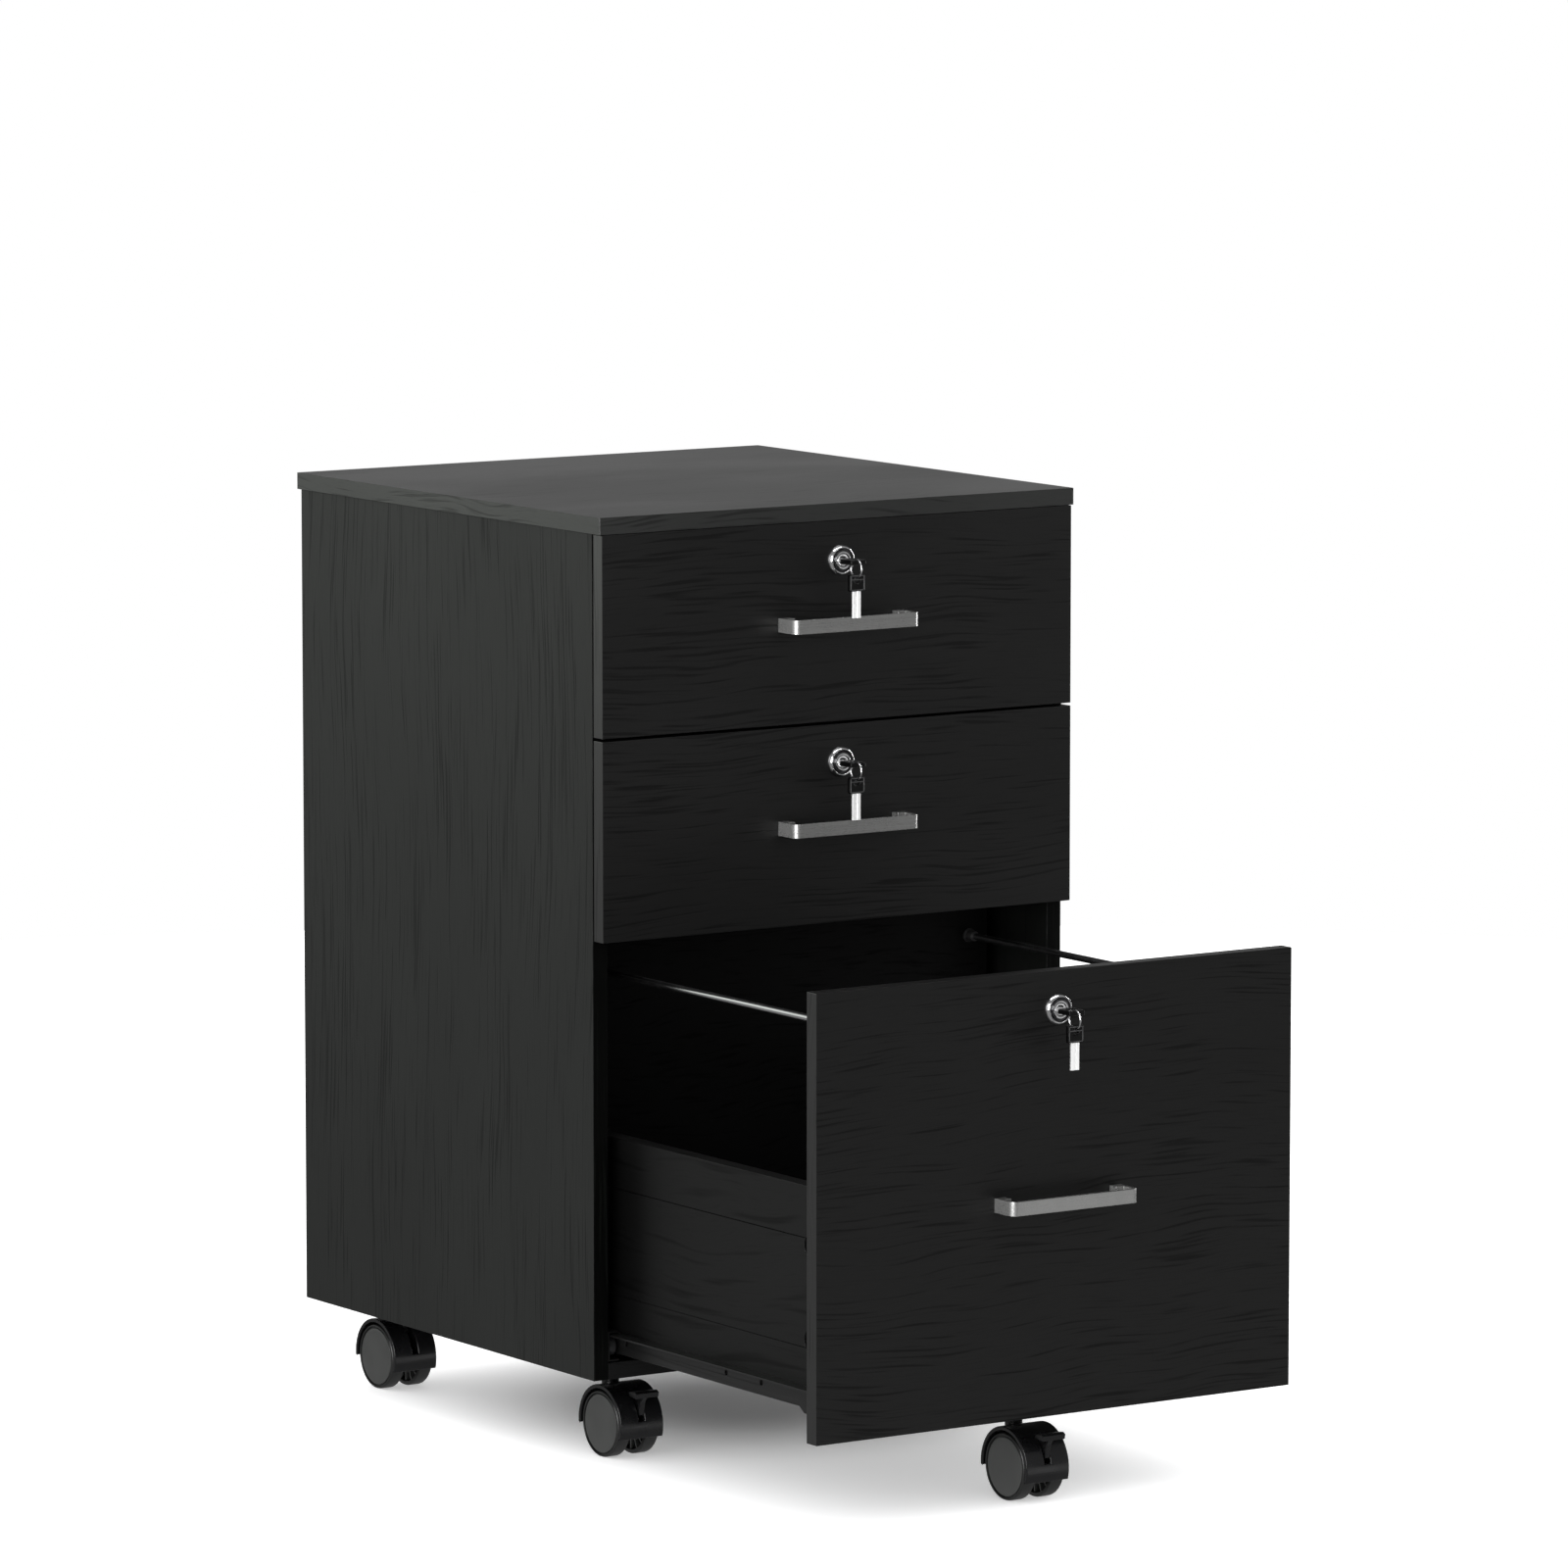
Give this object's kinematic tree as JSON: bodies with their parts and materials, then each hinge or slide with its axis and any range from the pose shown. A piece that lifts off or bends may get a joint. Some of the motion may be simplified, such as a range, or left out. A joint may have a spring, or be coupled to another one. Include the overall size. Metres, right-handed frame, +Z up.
{
  "type": "rolling pedestal cabinet",
  "caption": "Upright black office pedestal on twin-wheel casters: shallow box drawers over a deep hanging-file drawer that stands open, each with a strip handle and a keyed lock.",
  "frame": {"origin": "on the floor, under the middle of the outline with the file drawer open", "axes": "+Z up, +X to the right seen from the front, -Y the way the drawers open"},
  "size_m": [0.403, 0.71, 0.6748],
  "materials": {
    "black_board": "embossed black wood-grain laminate, satin",
    "back_sheet": "smooth black laminated sheet",
    "slide_steel": "black painted sheet steel",
    "roller_nylon": "black nylon",
    "handle_nickel": "brushed nickel",
    "lock_chrome": "bright chrome",
    "key_metal": "bright nickel with black moulded heads",
    "rod_chrome": "bright zinc",
    "caster_plastic": "black nylon, satin",
    "wheel_plastic": "dark grey nylon, satin",
    "block_plastic": "black plastic"
  },
  "bodies": {
    "cabinet": {"top_panel": "black_board", "left_side_panel": "black_board", "right_side_panel": "black_board", "back_panel": "back_sheet", "bottom_panel": "black_board", "front_rails": "black_board", "cabinet_slides": "slide_steel"},
    "upper_drawer": {"upper_drawer_front": "black_board", "upper_drawer_sides": "black_board", "upper_drawer_back": "black_board", "upper_drawer_bottom": "black_board", "upper_handle": "handle_nickel", "upper_drawer_slides": "slide_steel", "upper_lock_housing": "lock_chrome"},
    "upper_lock_key": {"upper_lock_key": "key_metal"},
    "upper_spare_key": {"upper_spare_key": "key_metal"},
    "upper_front_rollers": {"upper_front_rollers": "roller_nylon"},
    "upper_rear_rollers": {"upper_rear_rollers": "roller_nylon"},
    "middle_drawer": {"middle_drawer_front": "black_board", "middle_drawer_sides": "black_board", "middle_drawer_back": "black_board", "middle_drawer_bottom": "black_board", "middle_handle": "handle_nickel", "middle_drawer_slides": "slide_steel", "middle_lock_housing": "lock_chrome"},
    "middle_lock_key": {"middle_lock_key": "key_metal"},
    "middle_spare_key": {"middle_spare_key": "key_metal"},
    "middle_front_rollers": {"middle_front_rollers": "roller_nylon"},
    "middle_rear_rollers": {"middle_rear_rollers": "roller_nylon"},
    "file_drawer": {"file_drawer_front": "black_board", "file_drawer_sides": "black_board", "file_drawer_back": "black_board", "file_drawer_bottom": "black_board", "file_handle": "handle_nickel", "file_drawer_slides": "slide_steel", "file_lock_housing": "lock_chrome", "file_hanging_rails": "rod_chrome", "file_caster_block": "block_plastic"},
    "file_lock_key": {"file_lock_key": "key_metal"},
    "file_spare_key": {"file_spare_key": "key_metal"},
    "file_front_rollers": {"file_front_rollers": "roller_nylon"},
    "file_rear_rollers": {"file_rear_rollers": "roller_nylon"},
    "front_left_caster": {"front_left_caster_hood": "caster_plastic"},
    "front_left_wheel_left": {"front_left_wheel_left": "wheel_plastic"},
    "front_left_wheel_right": {"front_left_wheel_right": "wheel_plastic"},
    "front_left_caster_brake": {"front_left_caster_brake": "caster_plastic"},
    "front_right_caster": {"front_right_caster_hood": "caster_plastic"},
    "front_right_wheel_left": {"front_right_wheel_left": "wheel_plastic"},
    "front_right_wheel_right": {"front_right_wheel_right": "wheel_plastic"},
    "front_right_caster_brake": {"front_right_caster_brake": "caster_plastic"},
    "rear_left_caster": {"rear_left_caster_hood": "caster_plastic"},
    "rear_left_wheel_left": {"rear_left_wheel_left": "wheel_plastic"},
    "rear_left_wheel_right": {"rear_left_wheel_right": "wheel_plastic"},
    "rear_right_caster": {"rear_right_caster_hood": "caster_plastic"},
    "rear_right_wheel_left": {"rear_right_wheel_left": "wheel_plastic"},
    "rear_right_wheel_right": {"rear_right_wheel_right": "wheel_plastic"},
    "fifth_caster": {"fifth_caster_hood": "caster_plastic"},
    "fifth_wheel_left": {"fifth_wheel_left": "wheel_plastic"},
    "fifth_wheel_right": {"fifth_wheel_right": "wheel_plastic"},
    "fifth_caster_brake": {"fifth_caster_brake": "caster_plastic"}
  },
  "joints": [
    {"name": "upper_drawer_slide", "type": "slide", "parent": "cabinet", "child": "upper_drawer", "axis": [0, -1, 0], "range_m": [0, 0.2675]},
    {"name": "upper_lock_turn", "type": "hinge", "parent": "upper_drawer", "child": "upper_lock_key", "pos_m": [0, -0.05647, 0.6343], "axis": [0, -1, 0], "range_deg": [0, 90]},
    {"name": "upper_spare_key_swing", "type": "hinge", "parent": "upper_lock_key", "child": "upper_spare_key", "pos_m": [-0.0028, -0.07748, 0.6353], "axis": [-1, 0, 0], "range_deg": [0, 35]},
    {"name": "upper_front_rollers_turn", "type": "hinge", "parent": "cabinet", "child": "upper_front_rollers", "pos_m": [0, -0.03247, 0.5423], "axis": [1, 0, 0], "range_deg": [0, 1969]},
    {"name": "upper_rear_rollers_turn", "type": "hinge", "parent": "upper_drawer", "child": "upper_rear_rollers", "pos_m": [0, 0.28353, 0.5423], "axis": [1, 0, 0], "range_deg": [0, 1969]},
    {"name": "middle_drawer_slide", "type": "slide", "parent": "cabinet", "child": "middle_drawer", "axis": [0, -1, 0], "range_m": [0, 0.2675]},
    {"name": "middle_lock_turn", "type": "hinge", "parent": "middle_drawer", "child": "middle_lock_key", "pos_m": [0, -0.05647, 0.4909], "axis": [0, -1, 0], "range_deg": [0, 90]},
    {"name": "middle_spare_key_swing", "type": "hinge", "parent": "middle_lock_key", "child": "middle_spare_key", "pos_m": [-0.0028, -0.07748, 0.4919], "axis": [-1, 0, 0], "range_deg": [0, 35]},
    {"name": "middle_front_rollers_turn", "type": "hinge", "parent": "cabinet", "child": "middle_front_rollers", "pos_m": [0, -0.03247, 0.3989], "axis": [1, 0, 0], "range_deg": [0, 1969]},
    {"name": "middle_rear_rollers_turn", "type": "hinge", "parent": "middle_drawer", "child": "middle_rear_rollers", "pos_m": [0, 0.28353, 0.3989], "axis": [1, 0, 0], "range_deg": [0, 1969]},
    {"name": "file_drawer_slide", "type": "slide", "parent": "cabinet", "child": "file_drawer", "axis": [0, -1, 0], "range_m": [-0.2675, 0]},
    {"name": "file_lock_turn", "type": "hinge", "parent": "file_drawer", "child": "file_lock_key", "pos_m": [0, -0.32398, 0.3475], "axis": [0, -1, 0], "range_deg": [0, 90]},
    {"name": "file_spare_key_swing", "type": "hinge", "parent": "file_lock_key", "child": "file_spare_key", "pos_m": [-0.0028, -0.34497, 0.3485], "axis": [-1, 0, 0], "range_deg": [0, 35]},
    {"name": "file_front_rollers_turn", "type": "hinge", "parent": "cabinet", "child": "file_front_rollers", "pos_m": [0, -0.03247, 0.0867], "axis": [1, 0, 0], "range_deg": [-1969, 0]},
    {"name": "file_rear_rollers_turn", "type": "hinge", "parent": "file_drawer", "child": "file_rear_rollers", "pos_m": [0, 0.01603, 0.0867], "axis": [1, 0, 0], "range_deg": [-1969, 0]},
    {"name": "front_left_caster_swivel", "type": "hinge", "parent": "cabinet", "child": "front_left_caster", "pos_m": [-0.1507, 0.01192, 0.0643], "axis": [0, 0, 1], "continuous": true},
    {"name": "front_left_wheel_left_spin", "type": "hinge", "parent": "front_left_caster", "child": "front_left_wheel_left", "pos_m": [-0.1507, -0.00178, 0.0238], "axis": [1, 0, 0], "continuous": true},
    {"name": "front_left_wheel_right_spin", "type": "hinge", "parent": "front_left_caster", "child": "front_left_wheel_right", "pos_m": [-0.1507, -0.00178, 0.0238], "axis": [1, 0, 0], "continuous": true},
    {"name": "front_left_caster_brake_press", "type": "hinge", "parent": "front_left_caster", "child": "front_left_caster_brake", "pos_m": [-0.1507, -0.01878, 0.0353], "axis": [1, 0, 0], "range_deg": [0, 12]},
    {"name": "front_right_caster_swivel", "type": "hinge", "parent": "cabinet", "child": "front_right_caster", "pos_m": [0.1507, 0.01192, 0.0643], "axis": [0, 0, 1], "continuous": true},
    {"name": "front_right_wheel_left_spin", "type": "hinge", "parent": "front_right_caster", "child": "front_right_wheel_left", "pos_m": [0.1507, -0.00178, 0.0238], "axis": [1, 0, 0], "continuous": true},
    {"name": "front_right_wheel_right_spin", "type": "hinge", "parent": "front_right_caster", "child": "front_right_wheel_right", "pos_m": [0.1507, -0.00178, 0.0238], "axis": [1, 0, 0], "continuous": true},
    {"name": "front_right_caster_brake_press", "type": "hinge", "parent": "front_right_caster", "child": "front_right_caster_brake", "pos_m": [0.1507, -0.01878, 0.0353], "axis": [1, 0, 0], "range_deg": [0, 12]},
    {"name": "rear_left_caster_swivel", "type": "hinge", "parent": "cabinet", "child": "rear_left_caster", "pos_m": [-0.1507, 0.31953, 0.0643], "axis": [0, 0, 1], "continuous": true},
    {"name": "rear_left_wheel_left_spin", "type": "hinge", "parent": "rear_left_caster", "child": "rear_left_wheel_left", "pos_m": [-0.1507, 0.30583, 0.0238], "axis": [1, 0, 0], "continuous": true},
    {"name": "rear_left_wheel_right_spin", "type": "hinge", "parent": "rear_left_caster", "child": "rear_left_wheel_right", "pos_m": [-0.1507, 0.30583, 0.0238], "axis": [1, 0, 0], "continuous": true},
    {"name": "rear_right_caster_swivel", "type": "hinge", "parent": "cabinet", "child": "rear_right_caster", "pos_m": [0.1507, 0.31953, 0.0643], "axis": [0, 0, 1], "continuous": true},
    {"name": "rear_right_wheel_left_spin", "type": "hinge", "parent": "rear_right_caster", "child": "rear_right_wheel_left", "pos_m": [0.1507, 0.30583, 0.0238], "axis": [1, 0, 0], "continuous": true},
    {"name": "rear_right_wheel_right_spin", "type": "hinge", "parent": "rear_right_caster", "child": "rear_right_wheel_right", "pos_m": [0.1507, 0.30583, 0.0238], "axis": [1, 0, 0], "continuous": true},
    {"name": "fifth_caster_swivel", "type": "hinge", "parent": "file_drawer", "child": "fifth_caster", "pos_m": [0, -0.27237, 0.0643], "axis": [0, 0, 1], "continuous": true},
    {"name": "fifth_wheel_left_spin", "type": "hinge", "parent": "fifth_caster", "child": "fifth_wheel_left", "pos_m": [0, -0.28608, 0.0238], "axis": [1, 0, 0], "continuous": true},
    {"name": "fifth_wheel_right_spin", "type": "hinge", "parent": "fifth_caster", "child": "fifth_wheel_right", "pos_m": [0, -0.28608, 0.0238], "axis": [1, 0, 0], "continuous": true},
    {"name": "fifth_caster_brake_press", "type": "hinge", "parent": "fifth_caster", "child": "fifth_caster_brake", "pos_m": [0, -0.30307, 0.0353], "axis": [1, 0, 0], "range_deg": [0, 12]}
  ],
  "couplings": [
    {"joint": "upper_front_rollers_turn", "follows": "upper_drawer_slide", "rad_per_m": 128.21},
    {"joint": "upper_rear_rollers_turn", "follows": "upper_drawer_slide", "rad_per_m": 128.21},
    {"joint": "middle_front_rollers_turn", "follows": "middle_drawer_slide", "rad_per_m": 128.21},
    {"joint": "middle_rear_rollers_turn", "follows": "middle_drawer_slide", "rad_per_m": 128.21},
    {"joint": "file_front_rollers_turn", "follows": "file_drawer_slide", "rad_per_m": 128.21},
    {"joint": "file_rear_rollers_turn", "follows": "file_drawer_slide", "rad_per_m": 128.21}
  ]
}
